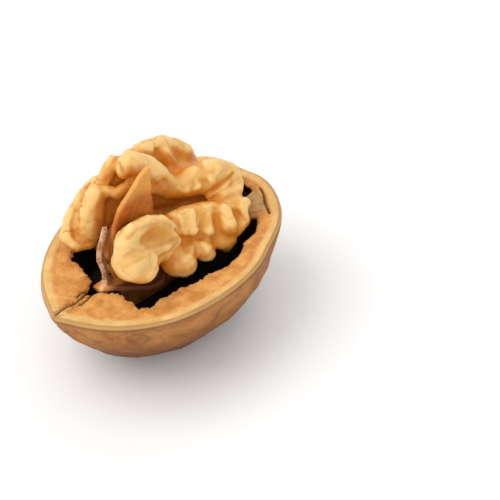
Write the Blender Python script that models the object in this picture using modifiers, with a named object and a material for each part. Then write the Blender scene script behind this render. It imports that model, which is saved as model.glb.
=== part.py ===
# Half of a walnut, opened along its seam: the woody half shell, the folded kernel that
# still sits in it, and the papery partition between the kernel's lobes.
# Metres, +Z up. The nut lies with its rim level: -X is the pointed end, +X the stem end.
# The shell stands on a small flat spot under its belly, at z = 0.

import math

import bmesh
import bpy
import numpy as np
from mathutils import Matrix, Vector, noise

MM = 0.001

# Driving dimensions of the shell, in metres
HALF_LENGTH = 21.0 * MM
HALF_WIDTH = 15.4 * MM
DEPTH = 16.9 * MM
FLAT_CUT = 0.40 * MM
RIM_Z = DEPTH - FLAT_CUT
WALL = 1.9 * MM
SHELL_STEPS = 90

# The pointed end reaches further out than the stem end. This moves the nut along X until
# the middle of its whole length stands over the origin.
CENTRE_SHIFT = 0.70 * MM

# Rim: shares of the oval's half width, and heights under the rim plane
LIP_SHARE = 0.72
CAVITY_SHARE = 0.885
BAND_SHARE = 0.925
LIP_TOP = 0.50 * MM
LIP_THICK = 1.0 * MM
UNDERCUT = 3.6 * MM
SEAM_BAND = 2.6 * MM
RIM_FADE = 11.0 * MM

# Where the rim stands out from the oval: angle, spread (both in degrees) and share
RIM_FORM = {
    "point": (180, 6, 0.031),
    "point_flare": (180, 17, 0.037),
    "near_stem_flat": (-57, 11, -0.030),
    "stem_flat": (10, 9, -0.022),
    "far_stem_corner": (36, 14, 0.035),
    "near_point_corner": (-118, 12, 0.012),
    "far_point_flat": (140, 14, -0.012),
}

# The broken inner edge of the rim face, read round the rim: degrees and share
LIP_KEYS = [
    (-180, 0.70), (-176, 0.635), (-158, 0.60), (-152, 0.655), (-145, 0.685), (-139, 0.765),
    (-136, 0.742), (-131, 0.775), (-126, 0.675), (-120, 0.66), (-113, 0.635), (-104, 0.648),
    (-98, 0.68), (-90, 0.658), (-80, 0.705), (-72, 0.745), (-62, 0.785), (-56, 0.76),
    (-42, 0.82), (-32, 0.825), (-29, 0.74), (-11, 0.735), (-8, 0.89), (6, 0.90),
    (30, 0.84), (60, 0.78), (95, 0.735), (118, 0.735), (134, 0.79), (140, 0.775),
    (144, 0.71), (152, 0.67), (167, 0.63), (173, 0.665), (178, 0.74), (180, 0.70),
]
LIP_CRUMBS = 0.016

# Relief of the rim face and of the outside of the shell
RIM_WAVE = 0.22 * MM
CORNER_LIFT = 0.35 * MM
RIM_GRAIN = 0.16 * MM
WRINKLE_DEPTH = 0.42 * MM
WRINKLE_COUNT = 15
WRINKLE_START = 3.0 * MM
WRINKLE_FULL = 8.0 * MM
SEAM_RIDGE = 0.012

# Kernel and partition
KERNEL_VOXEL = 0.50 * MM
KERNEL_FACES = 7600
BEAD_STEP = 0.45
SHEET_VOXEL = 0.28 * MM
SHEET_FACES = 2400
SHEET_THICK = 0.85 * MM
CLEARANCE = 0.60 * MM
SEAT_GAP = 0.45 * MM

# The partition's sheets, in millimetres from the middle of the rim plane
BLADE_TOP = 15.3
BLADE_FOOT = 13.6
BLADE_BACK = 4.5
BLADE_WAIST = 5.0
SHEET_TIP = -13.1
WING_LENGTH = 16.0
WING_DROP = -1.4
FOOT_LENGTH = 3.4
FOOT_WIDTH = 2.4
FOOT_DROP = -2.0

# Height and place along the nut of the blade's free edge
BLADE_EDGE = [
    (-13.6, -7.2), (-9, -8), (0, -10.6), (6, -9.2), (9.5, -7.9), (11.2, -6.6), (12.2, -5.2),
    (13.5, -3.8), (14.6, -2.4), (15.3, -0.9),
]
# Length from the partition's tip and reach of the lower wing there
WING_EDGE = [(0, 0.5), (2, 2.8), (3.5, 4.5), (5.3, 6.1), (7.5, 6.6), (10, 5), (13, 3), (16, 1.8)]
# Place, side and height of the flap's middle, and the flap's width there
FLAP_LINE = [
    (-11.2, 0.8, -2, 2.4), (-10.8, 1.1, 1, 1.9), (-11.2, 1.4, 3.4, 1.4), (-11, 1.5, 5.4, 1.5),
    (-10.1, 1.6, 7.1, 1.2), (-9.4, 1.7, 8.4, 0.4),
]


# Helpers

def clear_scene():
    for old in list(bpy.data.objects):
        bpy.data.objects.remove(old, do_unlink=True)


def make_collection(name):
    group = bpy.data.collections.new(name)
    bpy.context.scene.collection.children.link(group)
    return group


def make_material(name, colour, roughness):
    material = bpy.data.materials.new(name)
    material.use_nodes = True
    shader = material.node_tree.nodes["Principled BSDF"]
    shader.inputs["Base Color"].default_value = (*colour, 1.0)
    shader.inputs["Roughness"].default_value = roughness
    shader.inputs["Metallic"].default_value = 0.0
    material.diffuse_color = (*colour, 1.0)
    return material


def add_object(name, mesh, group):
    made = bpy.data.objects.new(name, mesh)
    group.objects.link(made)
    return made


def bake(source, name, group):
    # Takes the object as its modifiers leave it, as a new object, and drops the old one.
    bpy.context.view_layer.update()
    depsgraph = bpy.context.evaluated_depsgraph_get()
    mesh = bpy.data.meshes.new_from_object(source.evaluated_get(depsgraph))
    bpy.data.objects.remove(source, do_unlink=True)
    mesh.name = name
    return add_object(name, mesh, group)


def weld(mesh, distance):
    work = bmesh.new()
    work.from_mesh(mesh)
    bmesh.ops.remove_doubles(work, verts=work.verts, dist=distance)
    work.to_mesh(mesh)
    work.free()


def smoothstep(low, high, value):
    share = min(1.0, max(0.0, (value - low) / (high - low)))
    return share * share * (3.0 - 2.0 * share)


def swell(angle, centre, spread):
    # A soft bump in degrees round the rim.
    gap = (angle - centre + 180.0) % 360.0 - 180.0
    return math.exp(-(gap / spread) ** 2)


def between(keys, place):
    # The value at a place, on straight lines between pairs of (place, value).
    places, values = zip(*keys)
    return float(np.interp(place, places, values))


# Shell

def shell_profile():
    # Radius as a share of the half width, and height from the rim plane. It starts at the
    # cavity's floor, passes over the lip and the rim, and runs down the outside.
    points = []
    floor = DEPTH - WALL
    for step in range(9):
        turn = math.radians(72.0) * step / 8
        points.append((CAVITY_SHARE * math.sin(turn), -floor * math.cos(turn)))
    lip_under = LIP_TOP + LIP_THICK
    points.append((CAVITY_SHARE - 0.02, -UNDERCUT))
    points.append((CAVITY_SHARE - 0.05, -UNDERCUT * 0.74))
    points.append((LIP_SHARE + 0.06, -lip_under * 1.12))
    points.append((LIP_SHARE + 0.01, -lip_under))
    points.append((LIP_SHARE - 0.012, -LIP_TOP - LIP_THICK / 2))
    points.append((LIP_SHARE + 0.01, -LIP_TOP))
    points.append((LIP_SHARE + 0.07, -LIP_TOP * 0.66))
    points.append((LIP_SHARE + 0.14, -LIP_TOP * 0.33))
    points.append((BAND_SHARE - 0.01, -LIP_TOP * 0.08))
    points.append((BAND_SHARE + 0.02, 0.0))
    points.append((0.982, 0.0))
    points.append((0.996, -0.22 * MM))
    points.append((1.0, -0.75 * MM))
    for step in range(15):
        turn = math.radians(84.0) * (14 - step) / 14
        points.append((math.sin(turn), -DEPTH * math.cos(turn)))
    return points


def rim_outline(angle):
    # How far the rim stands out from a plain oval, all round.
    share = 1.0
    for centre, spread, reach in RIM_FORM.values():
        share += reach * swell(angle, centre, spread)
    return share


def lip_share(angle):
    # The broken inner edge of the rim face: wide at the tip, narrow at the stem end.
    return between(LIP_KEYS, angle) + LIP_CRUMBS * noise.noise(Vector((angle * 0.31, 7.7, 0.9)))


def wrinkle(point):
    # Long shallow grooves from the tip to the stem, broken by cross folds.
    along = point.x / HALF_LENGTH
    turn = math.atan2(point.y, -point.z)
    drift = 1.6 * noise.noise(Vector((along * 2.1, turn * 0.9, 5.0)))
    lines = math.sin(WRINKLE_COUNT * turn * 0.5 + drift * 2.4)
    knots = noise.noise(point / (4.2 * MM) + Vector((2.0, 9.0, 4.0)))
    fine = noise.noise(point / (2.1 * MM))
    return 0.55 * (abs(lines) - 0.6) + 0.55 * knots + 0.22 * fine


def shape_shell(mesh):
    # Moves the turned cup's points: oval, tip, uneven rim, broken lip, wrinkles.
    for vertex in mesh.vertices:
        point = vertex.co
        radius = math.hypot(point.x, point.y) / HALF_LENGTH
        angle = math.degrees(math.atan2(point.y, point.x))
        height = point.z
        outside = radius > 0.001 + math.sqrt(max(0.0, 1.0 - (height / DEPTH) ** 2)) * 0.96
        share = radius
        near_lip = smoothstep(-1.25 * UNDERCUT, -0.8 * UNDERCUT, height)
        inward = min(1.0, max(0.0, (BAND_SHARE - radius) / (BAND_SHARE - LIP_SHARE)))
        if not outside or inward > 0.0:
            share += near_lip * inward * (lip_share(angle) - LIP_SHARE)
        fade = max(0.0, 1.0 + height / RIM_FADE)
        share *= 1.0 + (rim_outline(angle) - 1.0) * fade ** 1.3
        if outside and height < -0.3 * MM:
            ridge = math.exp(-((height + 1.0 * MM) / (1.1 * MM)) ** 2)
            share *= 1.0 + SEAM_RIDGE * ridge
        direction = Vector((math.cos(math.radians(angle)), math.sin(math.radians(angle)), 0.0))
        moved = Vector((share * HALF_LENGTH * direction.x, share * HALF_WIDTH * direction.y, height))
        if height > -1.0 * MM:
            moved.z += RIM_WAVE * noise.noise(Vector((angle * 0.045, 1.0, 2.0)))
            moved.z += CORNER_LIFT * swell(angle, 36, 18)
            moved.z += RIM_GRAIN * inward * noise.noise(moved / (1.7 * MM))
        if outside and height < -0.9 * MM:
            belly = smoothstep(-SEAM_BAND * 0.5, -SEAM_BAND * 1.6, height)
            belly *= smoothstep(WRINKLE_START, WRINKLE_FULL, math.hypot(moved.x, moved.y))
            outward = Vector((moved.x / HALF_LENGTH ** 2, moved.y / HALF_WIDTH ** 2,
                              moved.z / DEPTH ** 2)).normalized()
            moved += outward * wrinkle(moved) * WRINKLE_DEPTH * belly
        vertex.co = moved


def cut_flat(mesh):
    # The small flat spot that the nut rests on.
    work = bmesh.new()
    work.from_mesh(mesh)
    geometry = work.verts[:] + work.edges[:] + work.faces[:]
    cut = bmesh.ops.bisect_plane(work, geom=geometry, dist=1e-7, plane_co=(0.0, 0.0, -RIM_Z),
                                 plane_no=(0.0, 0.0, -1.0), clear_outer=True)
    rim = [item for item in cut["geom_cut"] if isinstance(item, bmesh.types.BMEdge)]
    bmesh.ops.contextual_create(work, geom=rim)
    bmesh.ops.recalc_face_normals(work, faces=work.faces)
    work.to_mesh(mesh)
    work.free()


def make_shell(group, material):
    profile = bpy.data.meshes.new("shell_profile")
    points = [(share * HALF_LENGTH, 0.0, height) for share, height in shell_profile()]
    edges = [(i, i + 1) for i in range(len(points) - 1)]
    profile.from_pydata(points, edges, [])
    turned = add_object("shell_turned", profile, group)
    screw = turned.modifiers.new("turn", "SCREW")
    screw.axis = "Z"
    screw.steps = SHELL_STEPS
    screw.render_steps = SHELL_STEPS
    screw.use_merge_vertices = True
    screw.merge_threshold = 0.00002
    shell = bake(turned, "shell_half", group)
    weld(shell.data, 0.00001)
    shape_shell(shell.data)
    cut_flat(shell.data)
    return finish_node(shell, material)


# Kernel folds: centre lines with a radius at each point, in millimetres from the middle
# of the rim plane. Each line is one rounded fold of the kernel.

NEAR_LOBE = {
    "round_end_rim": [(-11.2, -4, 7, 1.5), (-10.6, -3.9, 9.1, 1.5), (-8.3, -3.8, 10.3, 1.5),
                      (-5.4, -3.5, 9.5, 1.5), (-2.9, -3.5, 8, 1.5), (-1.8, -3.9, 6.4, 1.4),
                      (-1.7, -4.6, 4.4, 1.4)],
    "round_end_lump": [(-9.8, -4.4, 5.5, 3.1), (-8.7, -4.9, 4.5, 3)],
    "round_end_face": [(-7.6, -3, 6.4, 3.4), (-4.6, -2.8, 5.4, 3.8), (-3.5, -3.3, 4, 3)],
    "round_end_ridge": [(-9.7, -4.2, 7.8, 1.8), (-7.6, -4.7, 6.8, 1.6), (-6, -4.9, 4.5, 1.7)],
    "knuckle_a": [(-1.7, -4.5, 1.9, 1.9), (-2.1, -5.5, 0.6, 2.3), (-1.3, -6.2, 0.2, 2.2)],
    "knuckle_top": [(0.5, -5.5, 1.4, 1.3), (-0.8, -6.3, 0.2, 1.7)],
    "knuckle_b": [(2.6, -5.5, 1.1, 1.5), (2.9, -6.5, 0.2, 1.7), (3.2, -6.8, -0.2, 1.4)],
    "knuckle_c": [(6.5, -6.3, -0.2, 1.5), (7.7, -6.8, -0.7, 1.3), (7.1, -6.9, -1.6, 1)],
    "band_a": [(1.2, -2.9, 5.1, 1.5), (0.8, -3.9, 4, 1.3)],
    "band_b": [(3.2, -3, 4.9, 1.6), (2.3, -4.3, 3.6, 1.4)],
    "band_c": [(6, -3.3, 3.7, 1.6), (4.8, -5.1, 1.9, 1.6)],
    "band_d": [(8.7, -4.7, 2.9, 1.6), (8, -6.3, 1.7, 1.7), (8.4, -6.7, 1.1, 1.3)],
    "band_e": [(11.8, -5.4, 1.9, 1.3), (11.3, -6.5, 0.8, 1.2), (9.5, -6.8, 0.3, 1.1)],
    "stem_bump": [(11.4, -3.6, 2.3, 1.3), (13.2, -5, 2.1, 1)],
    "near_top": [(0.6, -2.4, 4.9, 1.8), (3.4, -2.4, 4.3, 1.9), (6.8, -3.1, 3.1, 1.9),
                 (9.8, -3.9, 2, 1.8), (12.7, -4.4, 1.2, 1.4)],
    "core": [(-4.5, -2.6, 3, 2.4), (1, -2.4, 1, 2.7), (6, -2.6, 0.4, 2.8), (10, -2.2, 0, 2.9)],
}

FAR_LOBE = {
    "crest": [(-0.3, 5.2, 13.2, 2), (1.9, 4.5, 11.2, 2.1), (3.3, 3.7, 8.9, 2.1),
              (4.6, 2.8, 6.5, 1.8), (6.5, 2.2, 5.8, 1.9), (8.4, 1.9, 5.9, 2.1), (10.2, 1.3, 5.9, 2),
              (12.1, 0.7, 5.7, 2.3), (14, -0.3, 4.4, 2.3), (14.4, -0.6, 3, 1.8)],
    "apron": [(1.7, 3.6, 8.6, 1.5), (3.9, 2.8, 6.6, 1.3), (6.1, 1.8, 5.7, 1.4), (8.6, 0.7, 5.1, 1.5)],
    "flute_a": [(7.4, 2.1, 6.9, 1), (6.5, 0.8, 5.8, 1)],
    "flute_b": [(9.2, 1.5, 7, 1), (8.2, 0.1, 5.8, 1)],
    "flute_c": [(11.1, 1.1, 7.2, 1.1), (10.3, -0.4, 6.1, 1.1)],
    "knob_front": [(12.4, 0.2, 6.9, 1.5), (10.8, -0.4, 5.4, 1.4), (9.5, -0.3, 4.9, 1.2)],
    "lower_lobe": [(11, -2.1, 3.2, 1.8), (13.3, -2.4, 3.1, 1.6), (14.9, -1.8, 3.3, 1)],
    "crease_ridge": [(9.3, -1.3, 4.2, 0.6), (11.7, -1.8, 5.2, 0.5), (13.7, -1.8, 5.3, 0.5)],
    "blob_left": [(-1.4, 5.1, 13.9, 1.5), (-2.2, 4.7, 13.3, 1.2)],
    "left_ridge": [(-2.8, 7.3, 12.9, 1.2), (-3.8, 7.3, 11.4, 1.2), (-2, 7.7, 13.5, 0.9)],
    "left_fold": [(-5.4, 5.8, 10.9, 0.8), (-4.3, 4.4, 10.2, 0.8), (-2.6, 4, 10.7, 0.9),
                  (-1.2, 3.8, 11.3, 0.8)],
    "left_sausage": [(-6.5, 6.6, 10.1, 1.7), (-7.5, 7, 6.9, 2), (-8.4, 7.1, 3.6, 2)],
    "left_crescent": [(-7.5, 9.1, 8.1, 1.2), (-9.6, 9.6, 4.8, 1.4), (-10.9, 9, 2.7, 1.4),
                      (-10.5, 7.7, 2, 1.5), (-9.1, 6.7, 2.1, 1.4)],
    "back_crown": [(4.4, 8.4, 10.3, 1.7), (6.5, 8.7, 9.5, 1.7), (9.1, 8.6, 8.3, 1.9),
                   (10.8, 8.2, 7, 1.9), (11.9, 7.4, 5.7, 1.8), (11.7, 6.6, 4.4, 1.6),
                   (10.2, 6.1, 3.8, 1.4)],
    "inner_leaf": [(7.8, 6.7, 8.8, 1), (8.3, 6.1, 7.2, 1.1), (8.3, 5.9, 5.9, 0.9)],
    "inner_wall": [(6.4, 7.3, 8.1, 1.4), (6.9, 6.3, 5.9, 1.4)],
    "back_saddle": [(0.5, 8, 10, 1.8), (3, 8.4, 9.8, 1.9), (2, 9.6, 7.6, 2.0)],
    "back_shoulder": [(-5.6, 7.8, 8.6, 1.7), (-3.2, 7.9, 9.6, 1.9), (-1.4, 7.4, 10.6, 1.9)],
    "back_fold_a": [(-4, 9.2, 8.4, 1.8), (-5.2, 10.5, 5.6, 2.1), (-4.3, 10.9, 3.1, 1.7)],
    "back_fold_b": [(-0.6, 8.6, 10.2, 2), (0.7, 10.4, 7.6, 2.3), (-0.8, 11, 4.6, 2.1), (0.4, 10.6, 2.9, 1.7)],
    "back_fold_c": [(3.6, 9.6, 8.8, 1.9), (5, 10.6, 6.4, 2.3), (3.8, 10.9, 3.4, 2)],
    "back_fold_d": [(7.2, 9.8, 6.8, 2), (8.9, 9.8, 4.6, 2.1), (7.8, 9.6, 2.7, 1.6)],
    "back_fold_e": [(12, 7, 4.4, 1.9), (12.4, 6.6, 2.7, 1.8)],
    "back_fill": [(-4.6, 8.6, 5.2, 3.4), (-1.6, 8.7, 5.6, 3.7), (2, 8.8, 5.8, 3.8), (5.8, 8.4, 5.2, 3.6),
                  (9.6, 7, 4, 3)],
    "core": [(-5, 8.5, 4.5, 3.0), (-1, 8.2, 7, 3.4), (2.4, 8, 7, 3.4), (5, 6.8, 4, 4.0),
             (9.5, 5, 2.8, 3.6), (12, 1.5, 2.6, 2.8)],
}

LOWER_LOBES = {
    "near_low": [(-8, -3, -9.4, 2.4), (-3, -3.6, -10.2, 3), (3, -3.6, -10.2, 3),
                 (9, -2.8, -8.6, 3), (12.2, -1.6, -5.6, 2.8)],
    "far_low": [(-8, 4.2, -7.2, 3.4), (-3, 5.2, -8.6, 3.8), (3, 5.2, -8.6, 3.9),
                (9, 4.4, -7, 3.7), (12.4, 2.5, -4.5, 3.2)],
    "bridge_low": [(7.5, -2.6, -6, 3.6), (9.5, 0, -4.5, 4.0), (7.5, 3, -5.5, 4.0)],
    "far_neck": [(-5, 5.6, -2.5, 3.0), (0, 5.8, -1.8, 3.8), (6, 4.6, -1.6, 3.9), (10, 1.5, -1, 3.2)],
    "near_neck": [(5.5, -2.4, -3.4, 2.8), (9, -2, -2.6, 3.0)],
}


def add_fold(work, line):
    # Beads close together along a fold's centre line.
    for first, last in zip(line, line[1:]):
        start = Vector(first[:3])
        end = Vector(last[:3])
        count = max(1, math.ceil((end - start).length / (BEAD_STEP * min(first[3], last[3]))))
        for step in range(count + 1):
            share = step / count
            centre = start.lerp(end, share) * MM
            radius = (first[3] + (last[3] - first[3]) * share) * MM
            bmesh.ops.create_icosphere(work, subdivisions=2, radius=radius,
                                       matrix=Matrix.Translation(centre))


def remeshed(name, source, voxel, smooth, group):
    # One closed skin round everything in the object, softened a little.
    skin = source.modifiers.new("skin", "REMESH")
    skin.mode = "VOXEL"
    skin.voxel_size = voxel
    soften = source.modifiers.new("soften", "SMOOTH")
    soften.factor = 0.5
    soften.iterations = smooth
    return bake(source, name, group)


def thinned(name, source, triangles, group):
    thin = source.modifiers.new("thin", "DECIMATE")
    now = sum(len(face.vertices) - 2 for face in source.data.polygons)
    thin.ratio = min(1.0, triangles / now)
    return bake(source, name, group)


def finish_node(node, material):
    # Lifts a node from the rim plane's frame to the one that stands on z = 0.
    node.data.transform(Matrix.Translation((CENTRE_SHIFT, 0.0, RIM_Z)))
    node.data.materials.clear()
    node.data.materials.append(material)
    node.data.shade_smooth()
    return node


def make_kernel(group, material, cutter):
    work = bmesh.new()
    for lobe in (NEAR_LOBE, FAR_LOBE, LOWER_LOBES):
        for line in lobe.values():
            add_fold(work, line)
    mesh = bpy.data.meshes.new("kernel_beads")
    work.to_mesh(mesh)
    work.free()
    beads = add_object("kernel_beads", mesh, group)
    kernel = remeshed("kernel_half", beads, KERNEL_VOXEL, 1, group)
    slot = kernel.modifiers.new("slot", "BOOLEAN")
    slot.operation = "DIFFERENCE"
    slot.solver = "EXACT"
    slot.object = cutter
    kernel = bake(kernel, "kernel_half", group)
    kernel = remeshed("kernel_half", kernel, KERNEL_VOXEL * 0.8, 1, group)
    kernel = thinned("kernel_half", kernel, KERNEL_FACES, group)
    return finish_node(kernel, material)


# Partition: three thin sheets that grew together

def blade_point(across, up):
    # The upright blade between the lobes. Its free edge leans back from the pointed end.
    height = -BLADE_FOOT + up * (BLADE_FOOT + BLADE_TOP)
    free_edge = between(BLADE_EDGE, height)
    back_edge = BLADE_BACK - BLADE_WAIST * smoothstep(-1.0, 3.0, height)
    back_edge = max(back_edge, free_edge + 0.8)
    along = free_edge + across * (back_edge - free_edge)
    side = 0.2 + 0.8 * smoothstep(-2.0, 7.0, height)
    floor = (DEPTH - WALL - SEAT_GAP) / MM
    foot = floor * math.sqrt(1.0 - (along * MM / (CAVITY_SHARE * HALF_LENGTH)) ** 2)
    return Vector((along, side, up * (foot + BLADE_TOP) - foot)) * MM


def wing_point(across, out):
    # The lower wing under the near lobe, pointed towards the tip of the shell.
    length = across * WING_LENGTH
    side = 0.2 - out * between(WING_EDGE, length)
    height = WING_DROP + 0.9 * out ** 2 - 0.2 * across * out
    return Vector((SHEET_TIP + length, side, height)) * MM


def flap_point(across, up):
    # The torn flap on the far side of the blade, standing at the pointed end.
    steps = range(len(FLAP_LINE))
    where = up * (len(FLAP_LINE) - 1)
    place, side, height, width = [between(list(zip(steps, row)), where) for row in zip(*FLAP_LINE)]
    out = (across - 0.5) * width
    return Vector((place + out, side + 0.9 * out, height)) * MM


def foot_point(across, out):
    # The web that joins flap, blade and wing at the pointed end.
    along = SHEET_TIP + across * FOOT_LENGTH
    side = out * FOOT_WIDTH - 0.6
    height = FOOT_DROP + 0.6 * math.sin(math.pi * out) - 0.2
    return Vector((along, side, height)) * MM


def sheet(target, form, columns, rows, thickness):
    # A grid bent by a formula, given a wall on both sides, and added to the target mesh.
    work = bmesh.new()
    bmesh.ops.create_grid(work, x_segments=columns, y_segments=rows, size=0.5)
    for vertex in work.verts:
        vertex.co = form(vertex.co.x + 0.5, vertex.co.y + 0.5)
    mesh = bpy.data.meshes.new("sheet")
    work.to_mesh(mesh)
    work.free()
    flat = bpy.data.objects.new("sheet", mesh)
    bpy.context.scene.collection.objects.link(flat)
    wall = flat.modifiers.new("wall", "SOLIDIFY")
    wall.thickness = thickness
    wall.offset = 0.0
    bpy.context.view_layer.update()
    depsgraph = bpy.context.evaluated_depsgraph_get()
    solid = bpy.data.meshes.new_from_object(flat.evaluated_get(depsgraph))
    target.from_mesh(solid)
    bpy.data.objects.remove(flat, do_unlink=True)


def partition_sheets(name, thickness, group):
    work = bmesh.new()
    sheet(work, blade_point, 12, 26, thickness)
    sheet(work, wing_point, 18, 8, thickness)
    sheet(work, flap_point, 5, 12, thickness)
    sheet(work, foot_point, 6, 5, thickness)
    mesh = bpy.data.meshes.new(name)
    work.to_mesh(mesh)
    work.free()
    return add_object(name, mesh, group)


def make_partition(group, material):
    sheets = partition_sheets("partition_sheets", SHEET_THICK, group)
    partition = remeshed("septum", sheets, SHEET_VOXEL, 2, group)
    partition = thinned("septum", partition, SHEET_FACES, group)
    return finish_node(partition, material)


def make_slot_cutter(group):
    # The same sheets, swollen all round by the clearance.
    sheets = partition_sheets("slot_sheets", SHEET_THICK, group)
    swollen = remeshed("slot_skin", sheets, SHEET_VOXEL, 1, group)
    swell_out = swollen.modifiers.new("clearance", "DISPLACE")
    swell_out.direction = "NORMAL"
    swell_out.mid_level = 0.0
    swell_out.strength = CLEARANCE
    cutter = remeshed("partition_slot", swollen, SHEET_VOXEL * 1.4, 0, group)
    cutter.hide_render = True
    cutter.display_type = "WIRE"
    return cutter


def main():
    clear_scene()
    nut = make_collection("walnut_half")
    cutters = make_collection("cutters")
    wood = make_material("shell_wood", (0.62, 0.36, 0.17), 0.62)
    meat = make_material("kernel_skin", (0.80, 0.55, 0.25), 0.45)
    paper = make_material("partition_paper", (0.55, 0.26, 0.09), 0.6)
    make_shell(nut, wood)
    cutter = make_slot_cutter(cutters)
    make_kernel(nut, meat, cutter)
    make_partition(nut, paper)


main()
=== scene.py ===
import math

import bmesh
import bpy
import numpy as np
from mathutils import Matrix, Vector, kdtree, noise
from mathutils.bvhtree import BVHTree


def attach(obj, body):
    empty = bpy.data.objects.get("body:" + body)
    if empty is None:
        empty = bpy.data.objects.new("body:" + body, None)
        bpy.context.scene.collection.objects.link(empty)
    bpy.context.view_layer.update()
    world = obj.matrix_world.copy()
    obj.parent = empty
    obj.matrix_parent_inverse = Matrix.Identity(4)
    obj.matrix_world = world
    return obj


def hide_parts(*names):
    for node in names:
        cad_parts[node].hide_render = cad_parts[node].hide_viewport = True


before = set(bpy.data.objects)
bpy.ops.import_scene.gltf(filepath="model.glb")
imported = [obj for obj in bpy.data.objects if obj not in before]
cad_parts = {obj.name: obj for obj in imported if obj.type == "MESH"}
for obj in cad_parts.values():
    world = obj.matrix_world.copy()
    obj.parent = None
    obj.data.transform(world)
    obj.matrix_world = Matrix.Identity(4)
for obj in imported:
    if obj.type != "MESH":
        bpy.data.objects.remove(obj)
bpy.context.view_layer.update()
noise.seed_set(3)  # without it noise_vector would differ at each run
mm = 0.001


# Small helpers

def smoothStep(low, high, value):
    share = min(1.0, max(0.0, (value - low) / (high - low)))
    return share * share * (3.0 - 2.0 * share)


def rampOf(low, high, values):  # the same, for a whole array
    share = np.clip((values - low) / (high - low), 0.0, 1.0)
    return share * share * (3.0 - 2.0 * share)


def swell(angle, centre, spread):  # a soft bump in degrees round the rim
    gap = (angle - centre + 180.0) % 360.0 - 180.0
    return math.exp(-(gap / spread) ** 2)


def addPiece(name, mesh):
    piece = bpy.data.objects.new(name, mesh)
    bpy.context.scene.collection.objects.link(piece)
    return piece


def settled(piece, name):  # the piece as its modifiers leave it
    bpy.context.view_layer.update()
    depsgraph = bpy.context.evaluated_depsgraph_get()
    mesh = bpy.data.meshes.new_from_object(piece.evaluated_get(depsgraph))
    bpy.data.objects.remove(piece, do_unlink=True)
    mesh.name = name
    return addPiece(name, mesh)


def skinned(piece, name, voxel, rounds):  # one closed skin round everything, softened
    skin = piece.modifiers.new("skin", "REMESH")
    skin.mode = "VOXEL"
    skin.voxel_size = voxel
    soften = piece.modifiers.new("soften", "SMOOTH")
    soften.factor = 0.5
    soften.iterations = rounds
    return settled(piece, name)


def carved(piece, name, cutter):
    cut = piece.modifiers.new("cut", "BOOLEAN")
    cut.operation = "DIFFERENCE"
    cut.solver = "EXACT"
    cut.object = cutter
    return settled(piece, name)


def pointsOf(mesh):
    flat = np.empty(len(mesh.vertices) * 3)
    mesh.vertices.foreach_get("co", flat)
    return flat.reshape(-1, 3)


def movePoints(mesh, points):
    mesh.vertices.foreach_set("co", points.ravel())
    mesh.update()


def normalsOf(mesh):
    flat = np.empty(len(mesh.vertices) * 3)
    mesh.vertex_normals.foreach_get("vector", flat)
    return flat.reshape(-1, 3)


def averaged(mesh, values, rounds):  # values spread to their neighbours, round by round
    ends = np.empty(len(mesh.edges) * 2, dtype=np.int64)
    mesh.edges.foreach_get("vertices", ends)
    ends = ends.reshape(-1, 2)
    both = np.concatenate([ends[:, 0], ends[:, 1]])
    other = np.concatenate([ends[:, 1], ends[:, 0]])
    count = np.maximum(np.bincount(both, minlength=len(values)), 1)
    for _ in range(rounds):
        columns = [np.bincount(both, weights=values[other, k], minlength=len(values))
                   for k in range(values.shape[1])]
        values = 0.5 * values + 0.5 * np.stack(columns, axis=1) / count[:, None]
    return values


def keepMask(mesh, name, values):
    layer = mesh.attributes.new(name, "FLOAT", "POINT")
    layer.data.foreach_set("value", np.clip(values, 0.0, 1.0).astype(np.float32))


def noiseAt(points, size, shift):  # Perlin noise at each point, for bumps of that size
    return np.array([noise.noise(Vector(p) / size + shift) for p in points])


def lineDistance(points, path):  # from each point to a broken line
    nearest = np.full(len(points), 1.0)
    for start, end in zip(path, path[1:]):
        start, end = np.array(start), np.array(end)
        step = end - start
        share = np.clip((points - start) @ step / (step @ step), 0.0, 1.0)
        away = np.linalg.norm(points - start - share[:, None] * step, axis=1)
        nearest = np.minimum(nearest, away)
    return nearest


shading = {"rays": 26, "reach": 6.0 * mm, "lift": 0.12 * mm, "lowest": 0.1, "turnStep": 2.4, "rounds": 4}


def shadeOf(mesh, tree):  # how shut in each point lies, 0 to 1
    turns = []
    for i in range(shading["rays"]):
        rise = 1.0 - (2.0 * i + 1.0) / shading["rays"]
        turn, flat = i * shading["turnStep"], math.sqrt(1.0 - rise * rise)
        turns.append(Vector((math.cos(turn) * flat, math.sin(turn) * flat, rise)))
    shut = np.zeros(len(mesh.vertices))
    for i, vertex in enumerate(mesh.vertices):
        normal = vertex.normal
        start = vertex.co + normal * shading["lift"]
        tried = [turn for turn in turns if turn.dot(normal) > shading["lowest"]]
        hits = sum(tree.ray_cast(start, turn, shading["reach"])[0] is not None for turn in tried)
        shut[i] = hits / len(tried)
    return averaged(mesh, shut[:, None], shading["rounds"])[:, 0]


def shadePieces(pieces, shaded):  # keeps that share as a mask for the materials
    points, faces = [], []
    for piece in pieces:
        first = len(points)
        points += [vertex.co.copy() for vertex in piece.data.vertices]
        faces += [[first + corner for corner in face.vertices] for face in piece.data.polygons]
    tree = BVHTree.FromPolygons(points, faces)
    for piece in shaded:
        keepMask(piece.data, "shade", shadeOf(piece.data, tree))


def finish(piece, node, material):
    piece.data.materials.clear()
    piece.data.materials.append(material)
    piece.data.shade_smooth()
    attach(piece, "root")
    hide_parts(node)


# Shell

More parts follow.
